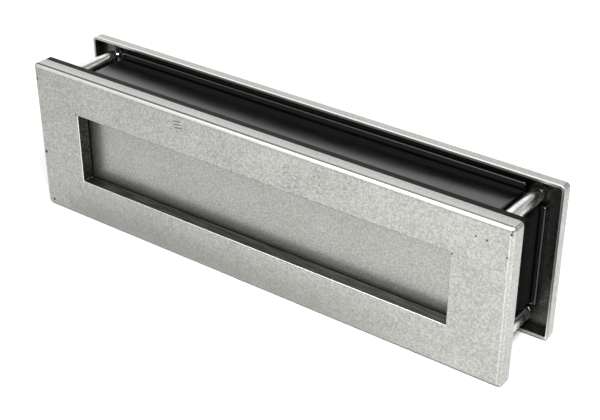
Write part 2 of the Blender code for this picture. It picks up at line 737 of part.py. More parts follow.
def inner_sleeve(parent):
    """The black moulding in the inner plate: a stepped flange with the sleeve's inner half."""
    sizes = smaller(SLEEVE_SIZES, SLEEVE_WALL + SLEEVE_PLAY)
    layers = []
    for step in range(RIDGE_ROUNDING_STEPS + 1):
        angle = math.pi / 2 * step / RIDGE_ROUNDING_STEPS
        inset = RIDGE_ROUNDING * (1 - math.sin(angle))
        depth = RIDGE_FRONT + RIDGE_ROUNDING * (1 - math.cos(angle))
        layers.append((rounded(stepped(*smaller(RIDGE_SIZES, inset)), SLEEVE_CORNER), depth))
    layers.append((layers[-1][0], INNER_FLOOR - GAP))
    flange = loft("inner_sleeve", layers)
    hole = slab(
        "inner_sleeve_hole",
        [rounded(stepped(*smaller(sizes, INNER_SLEEVE_WALL / 2)), SLEEVE_CORNER / 2)],
        RIDGE_FRONT - OVERCUT, INNER_FLOOR + OVERCUT,
    )
    tube = slab(
        "inner_sleeve_tube",
        tube_outlines(sizes, INNER_SLEEVE_WALL),
        INNER_SLEEVE_FRONT, INNER_FLOOR - GAP - OVERCUT,
    )
    return shape(flange, BLACK_PLASTIC, parent, cuts=[hole], joins=[tube])


def inner_flap(parent):
    """The room-side flap: a plate with a solid top rib that turns on two short pins."""
    flap = block(
        "inner_flap",
        (-INNER_FLAP_HALF_X, INNER_FLAP_FRONT, INNER_FLAP_BOTTOM),
        (INNER_FLAP_HALF_X, INNER_FLAP_BACK, INNER_FLAP_TOP),
    )
    rib = rod(
        "inner_flap_rib", INNER_BARREL_RADIUS,
        (-INNER_FLAP_HALF_X + GAP, INNER_AXIS_DEPTH, INNER_AXIS_Z),
        (INNER_FLAP_HALF_X - GAP, INNER_AXIS_DEPTH, INNER_AXIS_Z),
    )
    bores = []
    for side, sign in SIDES.items():
        bores.append(rod(
            "inner_flap_bore_" + side, PIN_HOLE_RADIUS,
            (sign * (INNER_PIN_START_X - GAP), INNER_AXIS_DEPTH, INNER_AXIS_Z),
            (sign * (INNER_FLAP_HALF_X + OVERCUT), INNER_AXIS_DEPTH, INNER_AXIS_Z),
        ))
    return shape(flap, PEWTER, parent, joins=[rib], late_cuts=bores)


def inner_flap_pins(parent):
    """The two short pins that are pressed into the inner plate's lugs."""
    length = INNER_PIN_END_X - INNER_PIN_START_X
    for side, sign in SIDES.items():
        start = INNER_PIN_START_X if sign > 0 else -INNER_PIN_END_X
        pin = turned(
            "inner_flap_pin_" + side, pin_profile(length),
            (start, INNER_AXIS_DEPTH, INNER_AXIS_Z), (0, math.pi / 2, 0),
        )
        as_piece(pin, ZINC, parent)


# The assembly

clear_scene()
PIECES = collection("letter_plate")
CUTTERS = collection("cutters")

whole = empty("letter_plate_frame", None, (0, -TOTAL_DEPTH / 2, PLATE_HEIGHT / 2))
outer_group = empty("outer_assembly", whole, (0, 0, 0))
inner_group = empty("inner_assembly", whole, (0, 0, 0))
outer_hinge = empty("outer_flap_hinge", outer_group, (0, OUTER_AXIS_DEPTH, OUTER_AXIS_Z))
inner_hinge = empty("inner_flap_hinge", inner_group, (0, INNER_AXIS_DEPTH, INNER_AXIS_Z))

outer_plate(outer_group)
outer_sleeve(outer_group)
outer_hinge_fittings(outer_group)
outer_flap(outer_hinge)
for side_name, side_sign in SIDES.items():
    outer_flap_spring(side_name, side_sign, outer_group)
for corner_name, (corner_x, corner_z) in CORNERS.items():
    sleeve_post(corner_name, corner_x, corner_z, outer_group)
    fixing_screw(corner_name, corner_x, corner_z, inner_group)
inner_plate(inner_group)
inner_sleeve(inner_group)
inner_flap(inner_hinge)
inner_flap_pins(inner_group)
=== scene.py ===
"""The looks of the letter plate: softened castings, turned fixings, wound springs, and every material.

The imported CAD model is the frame. Castings, sleeves, flaps, pins and clips keep their CAD shape and
get worn arrises; posts, screws and springs are replaced by finer pieces in the same places.
Units are metres, in the CAD frame: X along the plate, Y into the room, Z up.
"""

import math

import bmesh  # noqa: E402
import bpy  # noqa: E402
from mathutils import Matrix, Vector  # noqa: E402


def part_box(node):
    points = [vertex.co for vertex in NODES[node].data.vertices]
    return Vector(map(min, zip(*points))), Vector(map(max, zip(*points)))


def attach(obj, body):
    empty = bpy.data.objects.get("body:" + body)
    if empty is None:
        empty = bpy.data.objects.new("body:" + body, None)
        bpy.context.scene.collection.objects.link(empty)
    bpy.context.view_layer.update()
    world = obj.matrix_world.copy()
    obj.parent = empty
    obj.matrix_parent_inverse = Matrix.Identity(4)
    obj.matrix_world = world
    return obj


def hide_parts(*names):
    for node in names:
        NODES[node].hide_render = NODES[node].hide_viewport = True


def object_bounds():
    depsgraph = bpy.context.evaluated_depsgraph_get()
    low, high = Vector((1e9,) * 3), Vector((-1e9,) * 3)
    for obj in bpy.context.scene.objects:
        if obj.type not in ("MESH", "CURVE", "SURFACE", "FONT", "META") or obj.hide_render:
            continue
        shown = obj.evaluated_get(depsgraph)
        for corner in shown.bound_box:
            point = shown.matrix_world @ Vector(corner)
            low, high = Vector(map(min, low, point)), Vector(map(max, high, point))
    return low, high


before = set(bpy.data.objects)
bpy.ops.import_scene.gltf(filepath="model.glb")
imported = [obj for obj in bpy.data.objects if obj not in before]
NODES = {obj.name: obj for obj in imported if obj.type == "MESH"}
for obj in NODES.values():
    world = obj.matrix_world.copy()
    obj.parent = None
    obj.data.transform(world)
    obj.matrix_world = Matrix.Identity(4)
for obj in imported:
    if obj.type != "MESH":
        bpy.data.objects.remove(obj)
cad_low, cad_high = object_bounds()

MIDDLE_Z = (cad_low.z + cad_high.z) / 2
FRONT_Y = cad_low.y
BACK_Y = cad_high.y
CORNERS = ("top_left", "top_right", "bottom_left", "bottom_right")
SIDES = ("left", "right")

# The camera turns round a point in the plane of the outer plate's face
CAMERA_TURN = math.radians(36.23)
CAMERA_RISE = math.radians(32.25)
CAMERA_ROLL = math.radians(0.18)
CAMERA_DISTANCE = 0.6965
CAMERA_TARGET = Vector((0.04087, FRONT_Y, MIDDLE_Z - 0.01618))
CAMERA_LENS = 79.45
CAMERA_SHIFT = (-0.016, 0.0896)

# The studio: a dim even level, and panels of (direction, full inside this angle, nothing beyond
# this one, strength)
SKY_LEVEL = 0.08
SKY_PANELS = (
    ((-0.52, 0.72, 0.40), 28, 46, 1.5),
    ((0.8, 0.60, 0.05), 25, 60, 0.8),
    ((-0.31, -0.64, 0.70), 6, 20, 4.0),
    ((-0.62, -0.72, 0.22), 22, 42, 1.3),
    ((0.75, -0.65, 0.10), 20, 55, 0.5),
)
SOFTBOX_PLACE = (0.42, -0.42, 0.78)
SOFTBOX_TARGET = (0.22, -0.15, 0.0)
SOFTBOX_SIZE = (0.5, 0.4)
SOFTBOX_POWER = 15
FLOOR_SIZE = 6.0
FLOOR_DROP = 0.0002

# Shapes that the frame's boxes don't tell, as in the CAD model
OUTER_PLATE_DEPTH = 0.009
FLANGE_BACK_Y = FRONT_Y + 0.0135
APERTURE_HALF_X = 0.1245
APERTURE_HALF_Z = 0.02125
APERTURE_Z = MIDDLE_Z + 0.0005
APERTURE_LOW_Z = APERTURE_Z - APERTURE_HALF_Z
APERTURE_HIGH_Z = APERTURE_Z + APERTURE_HALF_Z
INNER_RIM_WALL = 0.0015
INNER_RIM_Y = FRONT_Y + 0.0495
INNER_FLOOR_Y = BACK_Y - 0.002
INNER_PLATE_LOW_Z = MIDDLE_Z - 0.0448
OUTER_AXIS = Vector((0, FRONT_Y + 0.0152, MIDDLE_Z + 0.026))

# Rounding of the arrises: flat faces are joined up first, then the sharper edges are rounded
WELD_DISTANCE = 0.000002
FLAT_ANGLE = math.radians(1)
ARRIS_ANGLE = math.radians(35)
ARRIS_SEGMENTS = 3
PLATE_ARRIS = 0.0006
TRAY_ARRIS = 0.0002
OUTER_SLEEVE_ARRIS = 0.00015
INNER_SLEEVE_ARRIS = 0.0003
SMALL_ARRIS = 0.0001

# Turned fixings
ROUND_STEPS = 64
CREASE_ANGLE = math.radians(38)
POST_START_GAP = 0.0003
POST_START_Y = FRONT_Y + OUTER_PLATE_DEPTH + POST_START_GAP
POST_END_Y = FRONT_Y + 0.0505
POST_EDGE = 0.0004
POST_EDGE_STEPS = 4
POST_COLLAR = 0.0009
POST_GROOVE = 0.0005
POST_BORE_RADIUS = 0.0024
POST_BORE_DEPTH = 0.033
SHANK_RADIUS = 0.00205
THREAD_DEPTH = 0.00028
THREAD_PITCH = 0.0007
THREAD_ROWS = 6
THREAD_COLUMNS = 28
HEAD_RADIUS = 0.0042
HEAD_RIM = 0.0003
HEAD_EDGE = 0.00012
SLOT_HALF_WIDTH = 0.00055
SLOT_DEPTH = 0.001

# Torsion springs
SPRING_START_X = 0.0735
SPRING_PITCH = 0.0012
SPRING_TURNS = 6
SPRING_MEAN_RADIUS = 0.0026
SPRING_WIRE_RADIUS = 0.0004
SPRING_STEPS_PER_TURN = 40
SPRING_FLAP_LEG = 0.016
SPRING_WALL_LEG = 0.0084
SPRING_WALL_LEG_ANGLE = math.atan2(0.8, 0.6)

# Pewter patina, and the colours of painted highlights and painted shade on it
PEWTER_DARK = (0.225, 0.225, 0.211, 1)
PEWTER_LIGHT = (0.385, 0.386, 0.366, 1)
# Worn pewter on the arrises, and also the colour of the painted highlights
PEWTER_WORN_AND_HIGHLIGHT = (0.60, 0.60, 0.58, 1)
# Colour of the painted shade below the aperture; the flaps are blended a little towards it
PEWTER_SHADE = (0.13, 0.13, 0.12, 1)
# Colour of the painted shade on the downward-facing chamfers
PEWTER_UNDERSIDE_SHADE = (0.11, 0.11, 0.102, 1)
PEWTER_METAL = 0.92
PEWTER_SHINE = 0.5
PEWTER_GRAIN_HEIGHT = 0.000018
CLOUD_SCALE = 40
MOTTLE_SCALE = 1000
GRAIN_SCALE = 2600
SCATTERED_PIT_SCALE = 230
BRUSHED_ALONG_X = (25, 2600, 2600)
BRUSHED_ALONG_Z = (2600, 2600, 25)
# Colour of the painted shade line between the upper chamfer and the edge
CHAMFER_SHADE_LINE = (0.12, 0.12, 0.112, 1)
ARRIS_BRIGHT = (0.95, 0.95, 0.93, 1)
PIT = (0.02, 0.02, 0.018, 1)
# Black painted as shadow, in the gap beside the flap and in the posts' groove
SHADOW_BLACK = (0.001, 0.001, 0.001, 1)
FLAP_SHADE = 0.16

# Bands on the outer plate's chamfer and edge, as depths behind its face: painted highlights, a painted
# shade line, and the face's own depth
CHAMFER_FRONT_HIGHLIGHT = (0.0004, 0.0011)
CHAMFER_SHADE_BAND = (0.0014, 0.0026)
EDGE_BACK_HIGHLIGHT = (0.0083, 0.0095)
FACE_DEPTH = (0.0016, 0.0020)

# Dark recesses; a recess reaches this little way into the metal and stops short of worn arrises
WALL_DARK = (0.026, 0.026, 0.024, 1)
WALL_LIGHT = (0.105, 0.104, 0.096, 1)
TRAY_DARK = (0.003, 0.003, 0.003, 1)
TRAY_LIGHT = (0.012, 0.011, 0.009, 1)
SKIN = 0.00025
WORN_ARRIS = 0.0004
# Depth in front of the flap where the aperture's walls are painted black as shadow
GAP_SHADOW_DEPTH = 0.0015

# Small faults on the outer plate's face: x along the plate, z from its middle, radius
PITS = (
    (0.1375, 0.0355, 0.0007),
    (0.1434, 0.0352, 0.0007),
    (0.1254, 0.0212, 0.0007),
    (0.1558, 0.0425, 0.0010),
    (0.1562, 0.0441, 0.0010),
    (0.1546, 0.0297, 0.0007),
    (-0.1552, 0.0370, 0.0013),
    (-0.1540, -0.0100, 0.0013),
    (-0.1518, -0.0418, 0.0012),
    (-0.1256, 0.0222, 0.0007),
)
SCUFFS = (
    (0.028, 0.0285, 0.011),
    (0.046, 0.0335, 0.010),
    (0.064, 0.0370, 0.008),
)
STROKES_X = -0.0476
STROKES_Z = 0.0388
STROKES_SLOPE = 0.14
STROKES_PITCH = 0.0019
STROKES_HALF_LENGTH = 0.0026
SEAM_START_X = -0.100
SEAM_SCALES = (420, 1, 900)
NICK_SCALES = (420, 1, 950)

# Black moulding: its walls draw in by a slope that fades away from the middle, as a bow does
MOULD_DARK = (0.0010, 0.0009, 0.0012, 1)
MOULD_LIGHT = (0.0026, 0.0023, 0.0026, 1)
MOULD_DRAFT = 0.085
MOULD_BOW = 3.8
MOULD_MIDDLE_X = -0.02

# Steels and the floor
ZINC_LIGHT = (0.70, 0.70, 0.68, 1)
ZINC_DARK = (0.52, 0.52, 0.50, 1)
WIRE_DARK = (0.20, 0.20, 0.21, 1)
WIRE_LIGHT = (0.45, 0.45, 0.46, 1)
FLOOR_DARK = (0.90, 0.90, 0.90, 1)
FLOOR_LIGHT = (0.93, 0.93, 0.93, 1)


# Node graphs

class Graph:
    """A material's nodes, with one short method for each kind that the looks use."""

    def __init__(self, name):
        self.material = bpy.data.materials.new(name)
        self.material.use_nodes = True
        self.tree = self.material.node_tree
        self.shader = self.tree.nodes["Principled BSDF"]
        coordinates = self.node("ShaderNodeTexCoord")
        self.place = coordinates.outputs["Object"]
        self.normal = coordinates.outputs["Normal"]

    def node(self, kind, **settings):
        """A new node with some of its settings changed."""
        made = self.tree.nodes.new(kind)
        for key, value in settings.items():
            setattr(made, key, value)
        return made

    def feed(self, socket, value):
        """Links an output to a socket, or sets the socket to a plain value."""
        if isinstance(value, bpy.types.NodeSocket):
            self.tree.links.new(value, socket)
        else:
            socket.default_value = value

    def math(self, operation, *values):
        """One arithmetic operation."""
        made = self.node("ShaderNodeMath", operation=operation)
        for socket, value in zip(made.inputs, values):
            self.feed(socket, value)
        return made.outputs[0]

    def plus(self, first, second):
        return self.math("ADD", first, second)

    def minus(self, first, second):
        return self.math("SUBTRACT", first, second)

    def times(self, first, second):
        return self.math("MULTIPLY", first, second)

    def larger(self, first, second):
        return self.math("MAXIMUM", first, second)

    def size(self, value):
        return self.math("ABSOLUTE", value)

    def noise(self, scale, detail=2.0, roughness=0.5, place=None):
        """Soft noise, the same in every direction unless a place is given."""
        made = self.node("ShaderNodeTexNoise")
        self.feed(made.inputs["Vector"], place or self.place)
        made.inputs["Scale"].default_value = scale
        made.inputs["Detail"].default_value = detail
        made.inputs["Roughness"].default_value = roughness
        return made.outputs["Fac"]

    def streaks(self, scales, detail=3):
        """Noise with a scale of its own along each axis."""
        made = self.node("ShaderNodeMapping")
        self.feed(made.inputs["Vector"], self.place)
        made.inputs["Scale"].default_value = scales
        return self.noise(1.0, detail, 0.6, made.outputs[0])

    def cells(self, scale):
        """Distance from the nearest cell point, and a random value for each cell."""
        made = self.node("ShaderNodeTexVoronoi")
        self.feed(made.inputs["Vector"], self.place)
        made.inputs["Scale"].default_value = scale
        return made.outputs["Distance"], self.split(made.outputs["Color"])[0]

    def between(self, value, low, high, to_low=0.0, to_high=1.0):
        """A smooth step of a value from one range to another."""
        made = self.node("ShaderNodeMapRange", interpolation_type="SMOOTHSTEP")
        self.feed(made.inputs["Value"], value)
        made.inputs["From Min"].default_value = low
        made.inputs["From Max"].default_value = high
        made.inputs["To Min"].default_value = to_low
        made.inputs["To Max"].default_value = to_high
        return made.outputs["Result"]

    def band(self, value, low, high, soft=0.00015):
        """1 between two values and 0 outside them."""
        rise = self.between(value, low - soft, low + soft)
        fall = self.between(value, high - soft, high + soft, 1.0, 0.0)
        return self.times(rise, fall)

    def blend(self, factor, first, second):
        """A colour between two colours."""
        made = self.node("ShaderNodeMix", data_type="RGBA")
        self.feed(made.inputs["Factor"], factor)
        self.feed(made.inputs[6], first)
        self.feed(made.inputs[7], second)
        return made.outputs[2]

    def split(self, vector):
        """The three parts of a vector."""
        made = self.node("ShaderNodeSeparateXYZ")
        self.feed(made.inputs[0], vector)
        return made.outputs

    def inside(self, low, high, soft):
        """1 inside a box and 0 outside it, with a soft edge; None leaves a side open."""
        distance = None
        for axis, output in enumerate(self.split(self.place)):
            for limit, sign in ((low[axis], -1), (high[axis], 1)):
                if limit is None:
                    continue
                past = self.times(self.minus(output, limit), sign)
                distance = past if distance is None else self.larger(distance, past)
        return self.between(distance, -soft, soft, 1.0, 0.0)

    def near(self, point, radius):
        """1 round a point and 0 beyond a radius."""
        made = self.node("ShaderNodeVectorMath", operation="DISTANCE")
        self.feed(made.inputs[0], self.place)
        made.inputs[1].default_value = point
        return self.between(made.outputs["Value"], radius * 0.5, radius, 1.0, 0.0)

    def edges(self):
        """1 on chamfers and rounded arrises, 0 on the faces that lie square to the axes."""
        x, y, z = [self.size(output) for output in self.split(self.normal)]
        largest = self.larger(self.larger(x, y), z)
        return self.between(largest, 0.74, 0.84, 1.0, 0.0)

    def bump(self, height, distance):
        """The surface's normal, turned by a height."""
        made = self.node("ShaderNodeBump")
        self.feed(made.inputs["Height"], height)
        made.inputs["Distance"].default_value = distance
        return made.outputs["Normal"]

    def finish(self, **values):
        """Feeds the shader's own sockets; an underscore in a name stands for a space."""
        for key, value in values.items():
            self.feed(self.shader.inputs[key.replace("_", " ")], value)
        return self.material


# Pewter

def worn_edges(graph):
    """Polished chamfers and arrises, less so at the plate's two ends."""
    from_middle = graph.size(graph.split(graph.place)[0])
    return graph.times(graph.edges(), graph.between(from_middle, 0.148, 0.150, 0.95, 0.25))


def scattered_pits(graph):
    """Rare casting pits, a few more of them at the plate's two ends."""
    distance, chance = graph.cells(SCATTERED_PIT_SCALE)
    from_middle = graph.size(graph.split(graph.place)[0])
    near_end = graph.between(from_middle, 0.130, 0.157, 0.0, 0.08)
    rare = graph.between(graph.minus(chance, near_end), 0.025, 0.04, 1.0, 0.0)
    return graph.times(graph.between(distance, 0.05, 0.12, 1.0, 0.0), rare)


def brushed(graph):
    """Brush marks that run along the top and bottom edges and up the two ends."""
    across = graph.split(graph.normal)
    on_top = graph.between(graph.size(across[2]), 0.6, 0.9)
    on_end = graph.between(graph.size(across[0]), 0.6, 0.9)
    along_x = graph.times(graph.streaks(BRUSHED_ALONG_X), on_top)
    along_z = graph.times(graph.streaks(BRUSHED_ALONG_Z), on_end)
    return graph.plus(along_x, along_z)


def pewter(name, recess):
    """Tumbled pewter patina: fine mottled faces, polished arrises, brushed edges and small pits."""
    graph = Graph(name)
    mottle = graph.noise(MOTTLE_SCALE, 2, 0.6)
    grain = graph.noise(GRAIN_SCALE, 2, 0.6)
    tone = graph.plus(graph.times(mottle, 0.75), graph.times(grain, 0.25))
    tone = graph.plus(tone, graph.times(graph.noise(CLOUD_SCALE, 3, 0.55), 0.14))
    colour = graph.blend(graph.between(tone, 0.38, 0.76), PEWTER_DARK, PEWTER_LIGHT)
    worn = worn_edges(graph)
    colour = graph.blend(worn, colour, PEWTER_WORN_AND_HIGHLIGHT)
    pit = scattered_pits(graph)
    colour = graph.blend(pit, colour, PIT)
    rough = graph.between(mottle, 0.3, 0.7, 0.36, 0.30)
    rough = graph.minus(rough, graph.times(worn, 0.10))
    colour, rough, metal, shine = recess(graph, colour, rough)
    height = graph.plus(mottle, graph.times(grain, 0.5))
    height = graph.plus(height, graph.times(brushed(graph), 0.8))
    height = graph.minus(height, graph.times(pit, 3.0))
    return graph.finish(
        Base_Color=colour,
        Roughness=rough,
        Metallic=metal,
        Specular_IOR_Level=shine,
        Normal=graph.bump(height, PEWTER_GRAIN_HEIGHT),
    )


def tool_strokes(graph):
    """Three short parallel strokes on the outer plate's face, left of the middle."""
    x, _, z = graph.split(graph.place)
    across = graph.minus(x, STROKES_X)
    height = graph.minus(z, MIDDLE_Z + STROKES_Z)
    along = graph.plus(across, graph.times(height, STROKES_SLOPE))
    beside = graph.minus(height, graph.times(across, STROKES_SLOPE))
    nearest = graph.size(graph.math("WRAP", beside, STROKES_PITCH / 2, -STROKES_PITCH / 2))
    stroke = graph.between(nearest, 0.00015, 0.00045, 0.75, 0.0)
    stroke = graph.times(stroke, graph.band(along, -STROKES_HALF_LENGTH, STROKES_HALF_LENGTH, 0.0006))
    return graph.times(stroke, graph.band(beside, -1.5 * STROKES_PITCH, 1.5 * STROKES_PITCH))


def scratched_seam(graph):
    """A broken scratch along the top edge of the aperture."""
    x, _, z = graph.split(graph.place)
    seam = graph.band(graph.minus(z, APERTURE_HIGH_Z), -0.0003, 0.0009, 0.0003)
    seam = graph.times(seam, graph.band(x, SEAM_START_X, APERTURE_HALF_X, 0.03))
    dashes = graph.between(graph.streaks(SEAM_SCALES, 2), 0.52, 0.62)
    return graph.times(graph.times(seam, dashes), 0.55)


def scuffs(graph):
    """Patches of small nicks above the aperture, right of the middle."""
    nicks = graph.between(graph.streaks(NICK_SCALES, 2), 0.54, 0.66, 0.0, 0.5)
    patches = None
    for x, z, radius in SCUFFS:
        patch = graph.near((x, FRONT_Y, MIDDLE_Z + z), radius)
        patches = patch if patches is None else graph.larger(patches, patch)
    return graph.times(patches, nicks)


def casting_faults(graph):
    """Every fault on the outer plate's face."""
    faults = graph.larger(tool_strokes(graph), scratched_seam(graph))
    faults = graph.larger(faults, scuffs(graph))
    for x, z, radius in PITS:
        faults = graph.larger(faults, graph.near((x, FRONT_Y, MIDDLE_Z + z), radius))
    depth = graph.minus(graph.split(graph.place)[1], FRONT_Y)
    on_face = graph.between(depth, *FACE_DEPTH, 1.0, 0.0)
    return graph.times(faults, on_face)


def low_shade(graph):
    """Painted shade: the face is darker below the aperture, less so towards the two ends."""
    x, _, z = graph.split(graph.place)
    below = graph.between(z, APERTURE_Z - 0.018, APERTURE_Z - 0.043, 0.0, 0.52)
    left = graph.between(x, -0.157, -0.115, 0.4, 1.0)
    right = graph.between(x, 0.02, 0.15, 1.0, 0.0)
    return graph.times(below, graph.times(left, right))


def chamfer_painted_light(graph, colour):
    """Painted light on the outer plate's chamfers and edge: highlights on the upward faces and on the
    right end's chamfer, a shade line between the upper chamfer and the edge, and shade on the downward
    chamfers.
    """
    depth = graph.minus(graph.split(graph.place)[1], FRONT_Y)
    x, _, z = graph.split(graph.normal)
    upward = graph.between(z, 0.3, 0.5)
    # Painted highlights on upward faces: bands on the upper chamfer and the edge's back arris, and the
    # top edge lightened towards the front
    painted_highlight = graph.times(graph.band(depth, *CHAMFER_FRONT_HIGHLIGHT), 0.35)
    painted_highlight = graph.larger(painted_highlight, graph.times(graph.band(depth, *EDGE_BACK_HIGHLIGHT), 0.5))
    painted_highlight = graph.larger(painted_highlight, graph.between(depth, 0.002, 0.007, 0.25, 0.0))
    colour = graph.blend(graph.times(painted_highlight, upward), colour, PEWTER_WORN_AND_HIGHLIGHT)
    # Painted shade line between the upper chamfer and the edge, weaker towards the right end
    fading = graph.between(graph.split(graph.place)[0], -0.10, 0.157, 1.0, 0.55)
    line = graph.times(graph.band(depth, *CHAMFER_SHADE_BAND, 0.0003), graph.times(upward, fading))
    colour = graph.blend(line, colour, CHAMFER_SHADE_LINE)
    # Painted highlight on the inner arris of the right end's chamfer
    sideways = graph.times(graph.band(x, 0.10, 0.42, 0.06), 0.35)
    colour = graph.blend(sideways, colour, PEWTER_WORN_AND_HIGHLIGHT)
    # Painted shade on the downward-facing chamfers
    downward = graph.between(z, -0.5, -0.3, 0.8, 0.0)
    return graph.blend(downward, colour, PEWTER_UNDERSIDE_SHADE)


def bright_arris(graph):
    """The polished arris round the aperture, not along its top or at its right end."""
    low = (-APERTURE_HALF_X - 0.0008, None, APERTURE_LOW_Z - 0.0008)
    high = (APERTURE_HALF_X - 0.002, None, APERTURE_HIGH_Z - 0.0005)
    return graph.times(graph.inside(low, high, 0.0002), graph.edges())


def aperture_recess(graph, colour, rough):
    """The outer plate's own looks: painted light and shade on its chamfers, painted shade below the
    aperture, faults, and dark patina walls that end in painted black shadow beside the flap.
    """
    colour = chamfer_painted_light(graph, colour)
    # Painted shade below the aperture
    colour = graph.blend(low_shade(graph), colour, PEWTER_SHADE)
    colour = graph.blend(casting_faults(graph), colour, PIT)
    colour = graph.blend(bright_arris(graph), colour, ARRIS_BRIGHT)
    low = Vector((-APERTURE_HALF_X - SKIN, FRONT_Y + WORN_ARRIS, APERTURE_LOW_Z - SKIN))
    high = Vector((APERTURE_HALF_X + SKIN, BACK_Y, APERTURE_HIGH_Z + SKIN))
    walls = graph.inside(low, high, 0.0001)
    patina = graph.between(graph.streaks((70, 900, 900)), 0.35, 0.7)
    patina = graph.blend(patina, WALL_DARK, WALL_LIGHT)
    thin = graph.between(graph.split(graph.place)[0], -0.06, APERTURE_HALF_X, 0.0, 0.11)
    colour = graph.blend(walls, colour, graph.blend(thin, patina, colour))
    rough = graph.plus(rough, graph.times(walls, 0.05))
    # Painted shadow: the walls' last stretch in front of the flap is black and reflects nothing
    low.y = FRONT_Y + OUTER_PLATE_DEPTH - GAP_SHADOW_DEPTH
    gap_shadow = graph.inside(low, high, 0.0002)
    colour = graph.blend(gap_shadow, colour, SHADOW_BLACK)
    metal = graph.between(gap_shadow, 0, 1, PEWTER_METAL, 0.0)
    shine = graph.between(gap_shadow, 0, 1, PEWTER_SHINE, 0.02)
    return colour, rough, metal, shine


def rim_painted_highlights(graph, colour):
    """Painted highlights on the inner plate's rim, along its top edge and along its right end."""
    x, depth, _ = graph.split(graph.place)
    depth = graph.minus(depth, INNER_RIM_Y)
    upward = graph.between(graph.split(graph.normal)[2], 0.3, 0.5)
    colour = graph.blend(graph.times(graph.band(depth, 0, 0.0012), upward), colour, PEWTER_WORN_AND_HIGHLIGHT)
    end_x = graph.band(x, cad_high.x - INNER_RIM_WALL - SKIN, cad_high.x - INNER_RIM_WALL / 2)
    end = graph.times(end_x, graph.between(depth, 0.0002, 0.0004, 1.0, 0.0))
    return graph.blend(end, colour, PEWTER_WORN_AND_HIGHLIGHT)


def tray_recess(graph, colour, rough):
    """The inner plate's own looks: painted highlights on its rim, and a hollow side and aperture left
    black.
    """
    # Painted highlights on the rim
    colour = rim_painted_highlights(graph, colour)
    inset = INNER_RIM_WALL - SKIN
    low = (cad_low.x + inset, INNER_RIM_Y + 0.0002, INNER_PLATE_LOW_Z + inset)
    high = (cad_high.x - inset, INNER_FLOOR_Y + SKIN, cad_high.z - inset)
    tray = graph.inside(low, high, 0.00005)
    low = (-APERTURE_HALF_X - SKIN, INNER_RIM_Y, APERTURE_LOW_Z - SKIN)
    high = (APERTURE_HALF_X + SKIN, BACK_Y - WORN_ARRIS, APERTURE_HIGH_Z + SKIN)
    dark = graph.larger(tray, graph.inside(low, high, 0.0001))
    paint_tone = graph.blend(graph.streaks((900, 900, 60)), TRAY_DARK, TRAY_LIGHT)
    colour = graph.blend(dark, colour, paint_tone)
    rough = graph.minus(rough, graph.times(dark, 0.05))
    metal = graph.between(dark, 0, 1, PEWTER_METAL, 0.1)
    shine = graph.between(dark, 0, 1, PEWTER_SHINE, 0.8)
    return colour, rough, metal, shine


def flap_shade(graph, colour, rough):
    """The flaps are a little darker than the plates."""
    return graph.blend(FLAP_SHADE, colour, PEWTER_SHADE), rough, PEWTER_METAL, PEWTER_SHINE


# Other materials

def moulding(name):
    """Satin black moulded plastic: polished walls that draw in a little, a matt flange, and end walls
    that reflect less as painted shade.
    """
    graph = Graph(name)
    x, depth, _ = graph.split(graph.place)
    flange = graph.between(depth, FLANGE_BACK_Y - 0.0001, FLANGE_BACK_Y + 0.0002, 1.0, 0.0)
    rough = graph.between(graph.streaks((40, 160, 160)), 0.35, 0.75, 0.19, 0.24)
    rough = graph.plus(rough, graph.times(flange, 0.35))
    # Painted shade: the walls that face the plate's ends reflect less
    sideways = graph.between(graph.size(graph.split(graph.normal)[0]), 0.6, 0.9, 1.0, 0.45)
    shine = graph.times(graph.between(flange, 0, 1, 0.52, 0.08), sideways)
    off_middle = graph.minus(x, MOULD_MIDDLE_X)
    bow = graph.times(graph.times(off_middle, off_middle), MOULD_BOW)
    drawn_in = graph.times(depth, graph.minus(bow, MOULD_DRAFT))
    height = graph.plus(drawn_in, graph.times(graph.noise(1500, 2, 0.5), 0.0000015))
    return graph.finish(
        Base_Color=graph.blend(graph.noise(160, 3), MOULD_DARK, MOULD_LIGHT),
        Roughness=rough,
        Specular_IOR_Level=shine,
        Normal=graph.bump(height, 1.0),
    )


def turned_steel(name):
    """Zinc-plated turned steel: tool rings round the Y axis, cloudy plating, and the groove painted
    black as shade.
    """
    graph = Graph(name)
    cloud = graph.noise(340, 4, 0.65)
    colour = graph.blend(graph.between(cloud, 0.3, 0.75), ZINC_DARK, ZINC_LIGHT)
    groove_end = POST_END_Y - POST_COLLAR
    depth = graph.split(graph.place)[1]
    # Painted shade: the posts' groove is painted black
    groove = graph.band(depth, groove_end - POST_GROOVE, groove_end, 0.00005)
    rings = graph.streaks((60, 4200, 60))
    height = graph.plus(graph.times(rings, 0.7), graph.times(cloud, 0.5))
    return graph.finish(
        Base_Color=graph.blend(groove, colour, SHADOW_BLACK),
        Roughness=graph.between(cloud, 0.3, 0.7, 0.30, 0.20),
        Metallic=1.0,
        Normal=graph.bump(height, 0.00001),
    )


def drawn_wire(name):
    """Spring wire: dark drawn steel with a slight sheen."""
    graph = Graph(name)
    streak = graph.noise(900, 4, 0.6)
    return graph.finish(
        Base_Color=graph.blend(streak, WIRE_DARK, WIRE_LIGHT),
        Roughness=graph.between(streak, 0.3, 0.7, 0.22, 0.38),
        Metallic=1.0,
        Normal=graph.bump(streak, 0.00002),
    )


def paper_floor(name):
    """The pale studio floor."""
    graph = Graph(name)
    tint = graph.blend(graph.noise(6, 2), FLOOR_DARK, FLOOR_LIGHT)
    return graph.finish(Base_Color=tint, Roughness=0.9, Specular_IOR_Level=0.1)


# Softened CAD nodes

